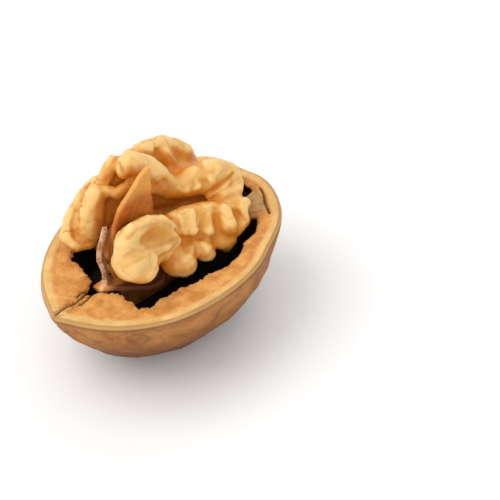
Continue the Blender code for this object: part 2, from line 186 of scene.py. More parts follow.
shell = {
    "halfLength": 21.0 * mm, "halfWidth": 15.4 * mm, "depth": 16.9 * mm, "rimZ": 16.5 * mm,
    "centreShift": 0.7 * mm, "wall": 1.9 * mm, "steps": 480, "lipShare": 0.72,
    "cavityShare": 0.885, "bandShare": 0.925, "lipTop": 0.50 * mm, "lipThick": 1.0 * mm,
    "undercut": 3.6 * mm, "seamBand": 2.6 * mm, "rimFade": 11.0 * mm, "rimWave": 0.22 * mm,
    "cornerLift": 0.35 * mm, "wrinkleDepth": 0.42 * mm, "wrinkleCount": 15,
    "wrinkleStart": 3.0 * mm, "wrinkleFull": 8.0 * mm, "seamRidge": 0.012,
    "furrowDepth": 0.16 * mm, "fineDepth": 0.03 * mm, "lipWave": 0.16 * mm, "lipPush": 0.16 * mm,
    "grain": 0.10 * mm, "pits": 0.20 * mm, "crackWidth": 0.20 * mm, "crackDepth": 0.34 * mm,
}
rimForm = {  # angle, spread in degrees, and share
    "point": (180, 6, 0.031), "pointFlare": (180, 17, 0.037), "nearStemFlat": (-57, 11, -0.030),
    "stemFlat": (10, 9, -0.022), "farStemCorner": (36, 14, 0.035),
    "nearPointCorner": (-118, 12, 0.012), "farPointFlat": (140, 14, -0.012),
}
lipKeys = [  # the broken inner edge, read round the rim: degrees and share
    (-180, 0.70), (-176, 0.635), (-158, 0.60), (-152, 0.655), (-145, 0.685), (-139, 0.765),
    (-136, 0.742), (-131, 0.775), (-126, 0.675), (-120, 0.66), (-113, 0.635), (-104, 0.648),
    (-98, 0.68), (-90, 0.658), (-80, 0.705), (-72, 0.745), (-62, 0.785), (-56, 0.76),
    (-42, 0.82), (-32, 0.825), (-29, 0.74), (-11, 0.735), (-8, 0.89), (6, 0.90),
    (30, 0.84), (60, 0.78), (95, 0.735), (118, 0.735), (134, 0.79), (140, 0.775),
    (144, 0.71), (152, 0.67), (167, 0.63), (173, 0.665), (178, 0.74), (180, 0.70),
]
lipLine = {"crumbs": 0.016, "teeth": 0.014}  # how far that edge strays, in shares
rimCracks = {  # lines in the rim face, in millimetres from its middle
    "pointCrack": [(-16.2, 0.3), (-18.2, -0.1), (-20.0, 0.2), (-22.4, 0.0)],
    "pointFork": [(-14.9, -0.4), (-16.4, -0.8), (-18.0, -0.9)],
    "pointFlake": [(-15.0, 0.9), (-16.2, 1.0), (-17.1, 0.7)],
    "stemCrack": [(18.9, -2.6), (18.3, -4.0), (17.0, -5.6), (15.9, -7.8)],
}
rimRamps = {  # where each mask begins and where it is full
    "band": (0.90, 0.945), "outer": (0.975, 0.99), "plateShare": (0.90, 0.87),
    "wall": (0.935, 0.955), "wallHeight": (0.25 * mm, -0.35 * mm), "top": (-1.4 * mm, -0.8 * mm),
    # under: where the painted shade on the lower belly begins and where it is full
    "under": (-2.5 * mm, -11.5 * mm), "brim": (-1.1 * mm, -0.3 * mm),
    "seamTop": (-0.45 * mm, -0.60 * mm), "seamFoot": (-0.95 * mm, -0.75 * mm),
    "fibre": (2.0 * mm, 0.5 * mm), "crack": (0.30 * mm, 0.06 * mm),
    "plateFrom": (-31.0, -29.0), "plateTo": (-9.0, -11.0),
}


def softPath(keys, steps):  # a smooth path through the keys
    points = []
    for i in range(len(keys) - 1):
        before, start = Vector(keys[max(0, i - 1)]), Vector(keys[i])
        end, after = Vector(keys[i + 1]), Vector(keys[min(len(keys) - 1, i + 2)])
        for step in range(steps):
            t = step / steps
            points.append(0.5 * (2.0 * start + (end - before) * t
                                 + (2.0 * before - 5.0 * start + 4.0 * end - after) * t ** 2
                                 + (3.0 * start - before - 3.0 * end + after) * t ** 3))
    points.append(Vector(keys[-1]))
    return points


def shellProfile():  # share of the half width, and height from the rim plane
    floor = shell["depth"] - shell["wall"]
    cavity, lip, under = shell["cavityShare"], shell["lipShare"], shell["lipTop"] + shell["lipThick"]
    points = []
    for step in range(32):
        turn = math.radians(72.0) * step / 32
        points.append(Vector((cavity * math.sin(turn), -floor * math.cos(turn))))
    keys = [(cavity * math.sin(math.radians(72.0)), -floor * math.cos(math.radians(72.0))),
            (cavity - 0.02, -shell["undercut"]), (cavity - 0.05, -shell["undercut"] * 0.74),
            (lip + 0.06, -under * 1.12), (lip + 0.01, -under), (lip - 0.012, -0.5 * under - 0.25 * mm),
            (lip + 0.01, -shell["lipTop"]), (lip + 0.07, -shell["lipTop"] * 0.66),
            (lip + 0.14, -shell["lipTop"] * 0.33), (shell["bandShare"] - 0.01, -shell["lipTop"] * 0.08),
            (shell["bandShare"] + 0.02, 0.0), (0.982, 0.0), (0.996, -0.22 * mm), (1.0, -0.75 * mm)]
    points += softPath(keys, 5)
    for step in range(72):
        turn = math.radians(86.0) * (71 - step) / 71
        points.append(Vector((math.sin(turn), -shell["depth"] * math.cos(turn))))
    return points


def rimOutline(angle):
    return 1.0 + sum(reach * swell(angle, centre, spread) for centre, spread, reach in rimForm.values())


def lipShareAt(angle):
    share = float(np.interp(angle, *zip(*lipKeys)))
    share += lipLine["crumbs"] * noise.noise(Vector((angle * 0.31, 7.7, 0.9)))
    share += lipLine["teeth"] * noise.noise(Vector((angle * 0.9, 2.2, 5.1)))
    return share


def wrinkleAt(point):
    along = point.x / shell["halfLength"]
    turn = math.atan2(point.y, -point.z)
    drift = 1.6 * noise.noise(Vector((along * 2.1, turn * 0.9, 5.0)))
    lines = math.sin(shell["wrinkleCount"] * turn * 0.5 + drift * 2.4)
    knots = noise.noise(point / (4.2 * mm) + Vector((2.0, 9.0, 4.0)))
    fine = noise.noise(point / (2.1 * mm))
    return 0.55 * (abs(lines) - 0.6) + 0.55 * knots + 0.22 * fine


def veinAt(point):  # thin furrows that wander along the nut, 0 to 1
    long = Vector((point.x / 2.2, point.y, point.z))
    warp = noise.noise_vector(point / (4.0 * mm)) * 0.7
    line = 1.0 - abs(noise.noise(long / (2.6 * mm) + warp)) * 6.5
    breaks = noise.noise(point / (5.0 * mm) + Vector((6.0, 2.0, 3.0)))
    return max(0.0, line) ** 1.4 * (0.35 + 0.65 * smoothStep(-0.15, 0.25, breaks))


def shapeShell(work):
    length, width, depth = shell["halfLength"], shell["halfWidth"], shell["depth"]
    bandShare, lipShare = shell["bandShare"], shell["lipShare"]
    for vertex in work.verts:
        point = vertex.co
        radius = math.hypot(point.x, point.y) / length
        angle = math.degrees(math.atan2(point.y, point.x))
        height = point.z
        outside = radius > 0.001 + math.sqrt(max(0.0, 1.0 - (height / depth) ** 2)) * 0.96
        share = radius
        nearLip = smoothStep(-1.25 * shell["undercut"], -0.8 * shell["undercut"], height)
        inward = min(1.0, max(0.0, (bandShare - radius) / (bandShare - lipShare)))
        if not outside or inward > 0.0:
            share += nearLip * inward * (lipShareAt(angle) - lipShare)
        fade = max(0.0, 1.0 + height / shell["rimFade"])
        share *= 1.0 + (rimOutline(angle) - 1.0) * fade ** 1.3
        if outside and height < -0.3 * mm:
            ridge = math.exp(-((height + 1.0 * mm) / (1.1 * mm)) ** 2)
            share *= 1.0 + shell["seamRidge"] * ridge
        turn = math.radians(angle)
        moved = Vector((share * length * math.cos(turn), share * width * math.sin(turn), height))
        if height > -1.0 * mm:
            moved.z += shell["rimWave"] * noise.noise(Vector((angle * 0.045, 1.0, 2.0)))
            moved.z += shell["cornerLift"] * swell(angle, 36, 18)
            moved.z += shell["lipWave"] * inward * noise.noise(moved / (1.7 * mm))
        if inward > 0.0 and height > -1.25 * shell["undercut"]:
            rough = smoothStep(0.02, 0.25, inward) * nearLip
            bits = noise.noise(moved / (0.8 * mm)) + 0.6 * noise.noise(moved / (0.38 * mm))
            pit = max(0.0, noise.noise(moved / (0.55 * mm) + Vector((5.0, 1.0, 8.0))) - 0.28)
            moved.z += rough * (shell["grain"] * bits - shell["pits"] * pit)
            sideways = noise.noise(moved / (0.5 * mm) + Vector((9.0, 2.0, 3.0)))
            push = shell["lipPush"] * rough * sideways
            moved.x += push * math.cos(turn)
            moved.y += push * math.sin(turn)
        if outside and height < -0.9 * mm:
            belly = smoothStep(-0.5 * shell["seamBand"], -1.6 * shell["seamBand"], height)
            under = smoothStep(shell["wrinkleStart"], shell["wrinkleFull"], math.hypot(moved.x, moved.y))
            outward = Vector((moved.x / length ** 2, moved.y / width ** 2, moved.z / depth ** 2))
            relief = wrinkleAt(moved) * shell["wrinkleDepth"] * belly
            relief -= shell["furrowDepth"] * veinAt(moved) * (0.25 + 0.75 * belly)
            relief += shell["fineDepth"] * noise.noise(moved / (0.6 * mm))
            moved += outward.normalized() * relief * (0.15 + 0.85 * under)
        vertex.co = moved


def makeShell(material):
    work = bmesh.new()
    ring = [work.verts.new((p.x * shell["halfLength"], 0.0, p.y)) for p in shellProfile()]
    edges = [work.edges.new(pair) for pair in zip(ring, ring[1:])]
    bmesh.ops.spin(work, geom=ring + edges, cent=(0, 0, 0), axis=(0, 0, 1), angle=math.tau / 16,
                   steps=shell["steps"] // 16)
    for part in (16, 8, 4, 2):  # a sixteenth is spun, then doubled until the cup is whole
        copy = bmesh.ops.duplicate(work, geom=work.verts[:] + work.edges[:] + work.faces[:])
        turned = [item for item in copy["geom"] if isinstance(item, bmesh.types.BMVert)]
        bmesh.ops.rotate(work, verts=turned, cent=(0, 0, 0),
                         matrix=Matrix.Rotation(math.tau / part, 3, "Z"))
    bmesh.ops.remove_doubles(work, verts=work.verts, dist=0.00001)
    shapeShell(work)
    everything = work.verts[:] + work.edges[:] + work.faces[:]
    cut = bmesh.ops.bisect_plane(work, geom=everything, dist=1e-7, plane_co=(0, 0, -shell["rimZ"]),
                                 plane_no=(0, 0, -1), clear_outer=True)
    flat = [item for item in cut["geom_cut"] if isinstance(item, bmesh.types.BMEdge)]
    bmesh.ops.contextual_create(work, geom=flat)
    bmesh.ops.recalc_face_normals(work, faces=work.faces)
    bmesh.ops.translate(work, verts=work.verts, vec=(shell["centreShift"], 0, shell["rimZ"]))
    mesh = bpy.data.meshes.new("shell")
    work.to_mesh(mesh)
    work.free()
    piece = addPiece("shell", mesh)
    carveCracks(mesh)
    maskShell(mesh)
    finish(piece, "shell_half", material)
    print("shell", len(mesh.polygons))
    return piece


def carveCracks(mesh):  # grooves in the rim face, with raised fibres beside them
    points = pointsOf(mesh)
    flat = points - np.array([shell["centreShift"], 0.0, shell["rimZ"]])
    top = rampOf(-1.1 * mm, -0.5 * mm, flat[:, 2])
    fibres = 0.7 + 1.4 * noiseAt(points, 0.6 * mm, Vector((4.0, 2.0, 6.0)))
    for path in rimCracks.values():
        away = lineDistance(flat[:, :2], np.array(path) * mm)
        groove = np.exp(-(away / shell["crackWidth"]) ** 2)
        banks = np.exp(-((away - 2.2 * shell["crackWidth"]) / shell["crackWidth"]) ** 2)
        points[:, 2] += top * shell["crackDepth"] * (0.6 * banks * fibres - groove)
    movePoints(mesh, points)


def maskShell(mesh):  # where the rim face, its seam band, the hollow and the furrows are
    points = pointsOf(mesh) - np.array([shell["centreShift"], 0.0, shell["rimZ"]])
    across, aside = points[:, 0] / shell["halfLength"], points[:, 1] / shell["halfWidth"]
    height, radius = points[:, 2], np.hypot(across, aside)
    angles = np.degrees(np.arctan2(aside, across))
    share = radius / np.array([rimOutline(angle) for angle in angles])

    def ramp(name, values):
        return rampOf(*rimRamps[name], values)

    wall = np.sqrt(np.clip(1.0 - (height / shell["depth"]) ** 2, 0.0, 1.0))
    edge = ramp("wall", radius / np.maximum(wall, 0.05)) * ramp("wallHeight", height)
    below = np.where(radius > 0.95 * wall, 1.0, 0.0)
    outer = np.where(height < -0.9 * mm, below, edge * ramp("outer", share))
    top = ramp("top", height) * (1.0 - outer)
    keepMask(mesh, "belly", outer)
    keepMask(mesh, "band", ramp("band", share) * (1.0 - outer))
    # painted shade: the hollow inside the shell is painted near black, as the shade in the cavity
    keepMask(mesh, "hollowShade", (1.0 - top) * (1.0 - outer))
    # painted shade: the belly is painted darker towards the bottom, where less light falls
    keepMask(mesh, "under", ramp("under", height) * 0.95)
    keepMask(mesh, "seam", ramp("seamTop", height) * ramp("seamFoot", height) * 0.6)
    keepMask(mesh, "brim", ramp("brim", height) * 0.8)
    away = {name: lineDistance(points[:, :2], np.array(path) * mm) for name, path in rimCracks.items()}
    keepMask(mesh, "fibre", ramp("fibre", away["pointCrack"]) * top)
    keepMask(mesh, "crack", sum(ramp("crack", line) for line in away.values()) * top)
    plate = ramp("plateFrom", angles) * ramp("plateTo", angles) * ramp("plateShare", share)
    keepMask(mesh, "plate", plate * top)
    furrows = np.array([veinAt(Vector(p)) for p in points])
    keepMask(mesh, "furrow", furrows * outer)


# Kernel folds: centre lines (x, y, z) with a radius at each point, in millimetres from the
# middle of the rim plane

nearLobe = {
    "roundEndRim": [(-11.2, -4, 7, 1.5), (-10.6, -3.9, 9.1, 1.5), (-8.3, -3.8, 10.3, 1.5),
                    (-5.4, -3.5, 9.5, 1.5), (-2.9, -3.5, 8, 1.5), (-1.8, -3.9, 6.4, 1.4),
                    (-1.7, -4.6, 4.4, 1.4)],
    "roundEndLump": [(-9.8, -4.4, 5.5, 3.1), (-8.7, -4.9, 4.5, 3)],
    "roundEndFace": [(-7.6, -3, 6.4, 3.4), (-4.6, -2.8, 5.4, 3.8), (-3.5, -3.3, 4, 3)],
    "roundEndRidge": [(-9.7, -4.2, 7.8, 1.8), (-7.6, -4.7, 6.8, 1.6), (-6, -4.9, 4.5, 1.7)],
    "knuckleA": [(-1.7, -4.5, 1.9, 1.9), (-2.1, -5.5, 0.6, 2.3), (-1.3, -6.2, 0.2, 2.2)],
    "knuckleTop": [(0.5, -5.5, 1.4, 1.3), (-0.8, -6.3, 0.2, 1.7)],
    "knuckleB": [(2.6, -5.5, 1.1, 1.5), (2.9, -6.5, 0.2, 1.7), (3.2, -6.8, -0.2, 1.4)],
    "knuckleC": [(6.5, -6.3, -0.2, 1.5), (7.7, -6.8, -0.7, 1.3), (7.1, -6.9, -1.6, 1)],
    "bandA": [(1.2, -2.9, 5.1, 1.5), (0.8, -3.9, 4, 1.3)],
    "bandB": [(3.2, -3, 4.9, 1.6), (2.3, -4.3, 3.6, 1.4)],
    "bandC": [(6, -3.3, 3.7, 1.6), (4.8, -5.1, 1.9, 1.6)],
    "bandD": [(8.7, -4.7, 2.9, 1.6), (8, -6.3, 1.7, 1.7), (8.4, -6.7, 1.1, 1.3)],
    "bandE": [(11.8, -5.4, 1.9, 1.3), (11.3, -6.5, 0.8, 1.2), (9.5, -6.8, 0.3, 1.1)],
    "stemBump": [(11.4, -3.6, 2.3, 1.3), (13.2, -5, 2.1, 1)],
    "nearTop": [(0.6, -2.4, 4.9, 1.8), (3.4, -2.4, 4.3, 1.9), (6.8, -3.1, 3.1, 1.9),
                (9.8, -3.9, 2, 1.8), (12.7, -4.4, 1.2, 1.4)],
    "core": [(-4.5, -2.6, 3, 2.4), (1, -2.4, 1, 2.7), (6, -2.6, 0.4, 2.8), (10, -2.2, 0, 2.9)],
}
farLobe = {
    "crest": [(-0.3, 5.2, 13.2, 2), (1.9, 4.5, 11.2, 2.1), (3.3, 3.7, 8.9, 2.1), (4.6, 2.8, 6.5, 1.8),
              (6.5, 2.2, 5.8, 1.9), (8.4, 1.9, 5.9, 2.1), (10.2, 1.3, 5.9, 2), (12.1, 0.7, 5.7, 2.3),
              (14, -0.3, 4.4, 2.3), (14.4, -0.6, 3, 1.8)],
    "apron": [(1.7, 3.6, 8.6, 1.5), (3.9, 2.8, 6.6, 1.3), (6.1, 1.8, 5.7, 1.4), (8.6, 0.7, 5.1, 1.5)],
    "fluteA": [(7.4, 2.1, 6.9, 1), (6.5, 0.8, 5.8, 1)],
    "fluteB": [(9.2, 1.5, 7, 1), (8.2, 0.1, 5.8, 1)],
    "fluteC": [(11.1, 1.1, 7.2, 1.1), (10.3, -0.4, 6.1, 1.1)],
    "knobFront": [(12.4, 0.2, 6.9, 1.5), (10.8, -0.4, 5.4, 1.4), (9.5, -0.3, 4.9, 1.2)],
    "lowerLobe": [(11, -2.1, 3.2, 1.8), (13.3, -2.4, 3.1, 1.6), (14.9, -1.8, 3.3, 1)],
    "creaseRidge": [(9.3, -1.3, 4.2, 0.6), (11.7, -1.8, 5.2, 0.5), (13.7, -1.8, 5.3, 0.5)],
    "blobLeft": [(-1.4, 5.1, 13.9, 1.5), (-2.2, 4.7, 13.3, 1.2)],
    "leftRidge": [(-2.8, 7.3, 12.9, 1.2), (-3.8, 7.3, 11.4, 1.2), (-2, 7.7, 13.5, 0.9)],
    "leftFold": [(-5.4, 5.8, 10.9, 0.8), (-4.3, 4.4, 10.2, 0.8), (-2.6, 4, 10.7, 0.9),
                 (-1.2, 3.8, 11.3, 0.8)],
    "leftSausage": [(-6.5, 6.6, 10.1, 1.7), (-7.5, 7, 6.9, 2), (-8.4, 7.1, 3.6, 2)],
    "leftCrescent": [(-7.5, 9.1, 8.1, 1.2), (-9.6, 9.6, 4.8, 1.4), (-10.9, 9, 2.7, 1.4),
                     (-10.5, 7.7, 2, 1.5), (-9.1, 6.7, 2.1, 1.4)],
    "backCrown": [(4.4, 8.4, 10.3, 1.7), (6.5, 8.7, 9.5, 1.7), (9.1, 8.6, 8.3, 1.9),
                  (10.8, 8.2, 7, 1.9), (11.9, 7.4, 5.7, 1.8), (11.7, 6.6, 4.4, 1.6),
                  (10.2, 6.1, 3.8, 1.4)],
    "innerLeaf": [(7.8, 6.7, 8.8, 1), (8.3, 6.1, 7.2, 1.1), (8.3, 5.9, 5.9, 0.9)],
    "innerWall": [(6.4, 7.3, 8.1, 1.4), (6.9, 6.3, 5.9, 1.4)],
    "backSaddle": [(0.5, 8, 10, 1.8), (3, 8.4, 9.8, 1.9), (2, 9.6, 7.6, 2.0)],
    "backShoulder": [(-5.6, 7.8, 8.6, 1.7), (-3.2, 7.9, 9.6, 1.9), (-1.4, 7.4, 10.6, 1.9)],
    "backFoldA": [(-4, 9.2, 8.4, 1.8), (-5.2, 10.5, 5.6, 2.1), (-4.3, 10.9, 3.1, 1.7)],
    "backFoldB": [(-0.6, 8.6, 10.2, 2), (0.7, 10.4, 7.6, 2.3), (-0.8, 11, 4.6, 2.1), (0.4, 10.6, 2.9, 1.7)],
    "backFoldC": [(3.6, 9.6, 8.8, 1.9), (5, 10.6, 6.4, 2.3), (3.8, 10.9, 3.4, 2)],
    "backFoldD": [(7.2, 9.8, 6.8, 2), (8.9, 9.8, 4.6, 2.1), (7.8, 9.6, 2.7, 1.6)],
    "backFoldE": [(12, 7, 4.4, 1.9), (12.4, 6.6, 2.7, 1.8)],
    "backFill": [(-4.6, 8.6, 5.2, 3.4), (-1.6, 8.7, 5.6, 3.7), (2, 8.8, 5.8, 3.8), (5.8, 8.4, 5.2, 3.6),
                 (9.6, 7, 4, 3)],
    "core": [(-5, 8.5, 4.5, 3.0), (-1, 8.2, 7, 3.4), (2.4, 8, 7, 3.4), (5, 6.8, 4, 4.0),
             (9.5, 5, 2.8, 3.6), (12, 1.5, 2.6, 2.8)],
}
lowerLobes = {
    "nearLow": [(-8, -3, -9.4, 2.4), (-3, -3.6, -10.2, 3), (3, -3.6, -10.2, 3),
                (9, -2.8, -8.6, 3), (12.2, -1.6, -5.6, 2.8)],
    "farLow": [(-8, 4.2, -7.2, 3.4), (-3, 5.2, -8.6, 3.8), (3, 5.2, -8.6, 3.9),
               (9, 4.4, -7, 3.7), (12.4, 2.5, -4.5, 3.2)],
    "bridgeLow": [(7.5, -2.6, -6, 3.6), (9.5, 0, -4.5, 4.0), (7.5, 3, -5.5, 4.0)],
    "farNeck": [(-5, 5.6, -2.5, 3.0), (0, 5.8, -1.8, 3.8), (6, 4.6, -1.6, 3.9), (10, 1.5, -1, 3.2)],
    "nearNeck": [(5.5, -2.4, -3.4, 2.8), (9, -2, -2.6, 3.0)],
}
creases = {  # width and depth, both in millimetres (a negative depth is a ridge), and path
    "star": (0.35, 0.38, [(-1.2, -5.2, 6.8), (0, -5, 3.9), (1.4, -5.2, 2.9), (2.8, -5.8, 2.5),
                          (4.9, -6.5, 1.7)]),
    "headLow": (0.25, 0.14, [(-12.2, -5.6, 6.8), (-11, -6.4, 7.6), (-9.1, -6.7, 7.6)]),
    "headMiddle": (0.45, 0.30, [(-7.8, -5.8, 8.1), (-5.9, -6.2, 7.2), (-4.1, -6.4, 6.7),
                                (-1.3, -5.8, 5.2)]),
    "headUpper": (0.45, 0.24, [(-10.1, -4.5, 10.8), (-8.5, -4.7, 11.4), (-6.2, -4.8, 10.7),
                               (-3, -4.6, 9.2), (-1.7, -4.9, 7.6)]),
    "headRight": (0.40, 0.32, [(-6.9, -7, 5.1), (-4.9, -6.4, 4.8), (-3.4, -6.4, 4.7),
                               (-1.5, -5.9, 4.6)]),
    "headRidge": (0.90, -0.35, [(-10.6, -4.9, 10.3), (-8.6, -5.4, 8.7), (-7.6, -6.3, 7.3),
                                (-7, -6.7, 5.8)]),
    "headDent": (1.50, 0.35, [(-6.4, -5.2, 9.4), (-4, -5.6, 8)]),
    "knob": (0.28, 0.34, [(8.7, -1.2, 4.7), (10, -1.7, 5.2), (11.5, -2, 5.7), (12.9, -2.1, 5.8),
                          (14.2, -1.9, 6)]),
    "knobRidge": (0.35, -0.38, [(8.8, -1.5, 4.2), (10.1, -2.1, 4.8), (11.5, -2.4, 5.2),
                                (13, -2.3, 5.3)]),
    "crestGroove": (0.50, 0.15, [(10.6, 2, 8.1), (10.1, 0.6, 7.7), (9.3, -0.6, 6.5)]),
    "crestDent": (0.90, 0.35, [(2, 2, 9), (3.3, 1.6, 9.2), (4, 1.4, 7.6)]),
    "crestPit": (0.25, 0.20, [(3, 1.8, 9.5), (3.5, 1.6, 9.1)]),
    "sausage": (0.35, 0.18, [(-7.9, 9.4, 8.4), (-9.1, 8.8, 7.7), (-10.5, 8.5, 5), (-11, 7.3, 3.4),
                             (-10.4, 6.1, 2.7), (-9.3, 5.5, 2.8)]),
    "crownLine": (0.40, 0.45, [(6.6, 7.1, 10.2), (6.3, 6.2, 8.9), (6.8, 5.6, 7.2)]),
    "blobLine": (0.40, 0.40, [(-2.6, 5.5, 14.7), (-3, 4.2, 14.2), (-2.3, 3.6, 12.8)]),
    "bandsLeft": (0.40, 0.22, [(4.4, -3.8, 5.6), (3.5, -4.9, 4.8), (3.1, -5.4, 2.8)]),
    "bandsRight": (0.35, 0.22, [(7.8, -4.2, 4.4), (7, -5.2, 3.4), (6.1, -6.2, 2.2)]),
    "bandEnd": (0.25, 0.24, [(10.5, -5.5, 2.7), (10.9, -6.4, 2.1), (11.1, -7.5, 1.4)]),
}
shadeSpots = {  # reach in millimetres and path, where painted shade makes the skin a deeper orange
    "knuckle": (1.5, [(5.6, -6.8, 0.7), (7.7, -7.7, 0.3)]),
    "roundEnd": (1.6, [(-5.8, -5, 8.9), (-3.2, -5.4, 7.2)]),
    "leftHollow": (1.5, [(-3.9, 6.6, 13.0), (-3.7, 4.7, 11.2)]),
    "underCrest": (0.9, [(3.7, 1.4, 6.1), (6.4, -0.1, 5.4), (8.0, -0.7, 5.1)]),
    "recess": (1.3, [(2.5, 3.8, 3.9), (5.6, 2.7, 2.5)]),
    "bandGap": (1.0, [(5.5, -2.2, 5.5), (5, -3.8, 5.2), (4.9, -5.1, 4.0)]),
    "underKnob": (0.8, [(8.8, -2, 4), (10.1, -3.3, 4.3)]),
    "crown": (1.6, [(6.8, 6.7, 9.3), (7.3, 4.3, 6.8), (8, 3.1, 7.6)]),
}
kernel = {
    "beadStep": 0.35, "firstVoxel": 0.36 * mm, "voxel": 0.235 * mm, "crisp": 1.1,
    "swell": 0.16 * mm, "swellSize": 2.6 * mm, "ripple": 0.05 * mm, "rippleSize": 0.9 * mm,
    "veins": 0.10 * mm, "backVeins": 0.27 * mm, "veinSize": 3.1 * mm, "veinBend": 1.2 * mm,
    # low: the heights over which the painted shade of the lower lobes fades in
    "veinSharp": 7.0, "back": (6.0 * mm, 9.5 * mm), "low": (-1.0 * mm, -2.3 * mm),
    "clearance": 0.60 * mm,
}


def foldMesh(line):  # beads close together along a fold's centre line
    work = bmesh.new()
    for first, last in zip(line, line[1:]):
        start, end = Vector(first[:3]), Vector(last[:3])
        count = max(1, math.ceil((end - start).length / (kernel["beadStep"] * min(first[3], last[3]))))
        for step in range(count + 1):
            share = step / count
            radius = (first[3] + (last[3] - first[3]) * share) * mm
            bmesh.ops.create_icosphere(work, subdivisions=3, radius=radius,
                                       matrix=Matrix.Translation(start.lerp(end, share) * mm))
    mesh = bpy.data.meshes.new("fold")
    work.to_mesh(mesh)
    work.free()
    return mesh


def makeKernel(material, cutter):
    work = bmesh.new()
    for lobe in (nearLobe, farLobe, lowerLobes):
        for line in lobe.values():
            fold = foldMesh(line)
            work.from_mesh(fold)
            bpy.data.meshes.remove(fold)
    mesh = bpy.data.meshes.new("kernelBeads")
    work.to_mesh(mesh)
    work.free()
    piece = skinned(addPiece("kernelBeads", mesh), "kernel", kernel["firstVoxel"], 2)
    piece = carved(piece, "kernel", cutter)
    piece = skinned(piece, "kernel", kernel["voxel"], 3)
    sculptKernel(piece.data)
    finish(piece, "kernel_half", material)
    print("kernel", len(piece.data.polygons))
    return piece


def sculptKernel(mesh):
    points = pointsOf(mesh)
    soft = averaged(mesh, points, 14)
    points = points + (points - soft) * kernel["crisp"]  # sharper creases, rounder folds
    movePoints(mesh, points)
    normals = normalsOf(mesh)
    lumps = noiseAt(points, kernel["swellSize"], Vector((3.0, 1.0, 7.0)))
    ripples = noiseAt(points, kernel["rippleSize"], Vector((8.0, 4.0, 2.0)))
    wander = noiseAt(points, kernel["veinSize"], Vector((5.0, 5.0, 9.0)))
    wander += 0.35 * noiseAt(points, kernel["veinBend"], Vector((2.0, 7.0, 1.0)))
    veins = np.clip(1.0 - np.abs(wander) * kernel["veinSharp"], 0.0, 1.0) ** 1.3
    behind = rampOf(*kernel["back"], points[:, 1])
    relief = kernel["swell"] * lumps + kernel["ripple"] * ripples
    relief -= veins * (kernel["veins"] + (kernel["backVeins"] - kernel["veins"]) * behind)
    lines = np.zeros(len(points))
    for width, depth, path in creases.values():
        near = np.exp(-(lineDistance(points, np.array(path) * mm) / (width * mm)) ** 2)
        relief -= near * depth * mm
        if depth > 0.0:
            lines = np.maximum(lines, near * min(1.0, depth * 2.4))
    points = points + normals * relief[:, None]
    movePoints(mesh, points)
    # painted shade along the crease lines, together with the veins' own darker tone
    keepMask(mesh, "line", np.maximum(lines, veins * 0.35))
    # painted shade: a deeper orange round these paths, in recesses and under folds
    spots = [rampOf(1.3 * reach * mm, 0.4 * reach * mm, lineDistance(points, np.array(path) * mm))
             for reach, path in shadeSpots.values()]
    keepMask(mesh, "shadeSpots", np.max(spots, axis=0))
    normals = normalsOf(mesh)
    near = np.einsum("ij,ij->i", averaged(mesh, points, 8) - points, normals)
    wide = np.einsum("ij,ij->i", averaged(mesh, points, 90) - points, normals)
    # painted shade: this mask darkens the creases and hollows of the kernel
    creaseShade = rampOf(0.01 * mm, 0.16 * mm, near) * 0.6 + rampOf(0.10 * mm, 1.0 * mm, wide)
    # painted highlight: the ridge mask lightens the tops of the folds
    ridge = rampOf(0.0, -0.35 * mm, wide)
    height = points[:, 2].copy()
    points[:, 0] += shell["centreShift"]
    points[:, 2] += shell["rimZ"]
    movePoints(mesh, points)
    keepMask(mesh, "creaseShade", creaseShade)
    keepMask(mesh, "ridge", ridge)
    # painted shade: the lower lobes deep in the shell are painted near black
    keepMask(mesh, "low", rampOf(*kernel["low"], height))


# Partition: thin sheets that grew together, in millimetres from the middle of the rim plane

partition = {
    "thick": 0.85 * mm, "voxel": 0.17 * mm, "slotVoxel": 0.28 * mm, "seatGap": 0.45 * mm,
    "waves": 0.13, "waveSize": 2.2, "grain": 0.03 * mm, "grainSize": 0.5 * mm,
    "bladeTop": 15.3, "bladeFoot": 13.6, "bladeBack": 4.5, "bladeWaist": 5.0, "wingDrop": -1.4,
    "tip": -13.1, "wingLength": 16.0, "footLength": 3.4, "footWidth": 2.4, "footDrop": -2.0,
}
bladeEdge = [  # height and place along the nut of the blade's free edge
    (-13.6, -7.2), (-9, -8), (0, -10.6), (6, -9.2), (9.5, -7.9), (11.2, -6.6), (12.2, -5.2),
    (13.5, -3.8), (14.6, -2.4), (15.3, -0.9),
]
wingEdge = [(0, 0.5), (2, 2.8), (3.5, 4.5), (5.3, 6.1), (7.5, 6.6), (10, 5), (13, 3), (16, 1.8)]
pointFold = [(-13.2, -0.1, -0.8), (-12.0, 0.2, -0.6), (-10.6, 0.5, -0.4)]  # the pale tip
flapLine = [  # place, side and height of the flap's middle, and its width
    (-11.2, 0.8, -2, 2.4), (-10.8, 1.1, 1, 1.9), (-11.2, 1.4, 3.4, 1.4), (-11, 1.5, 5.4, 1.5),
    (-10.1, 1.6, 7.1, 1.2), (-9.4, 1.7, 8.4, 0.4),
]


def bladePoint(across, up):
    top, low = partition["bladeTop"], partition["bladeFoot"]
    height = -low + up * (low + top)
    freeEdge = float(np.interp(height, *zip(*bladeEdge)))
    backEdge = partition["bladeBack"] - partition["bladeWaist"] * smoothStep(-1.0, 3.0, height)
    backEdge = max(backEdge, freeEdge + 0.8)
    along = freeEdge + across * (backEdge - freeEdge)
    side = 0.2 + 0.8 * smoothStep(-2.0, 7.0, height)
    floor = (shell["depth"] - shell["wall"] - partition["seatGap"]) / mm
    foot = floor * math.sqrt(1.0 - (along * mm / (shell["cavityShare"] * shell["halfLength"])) ** 2)
    return Vector((along, side, up * (foot + top) - foot))


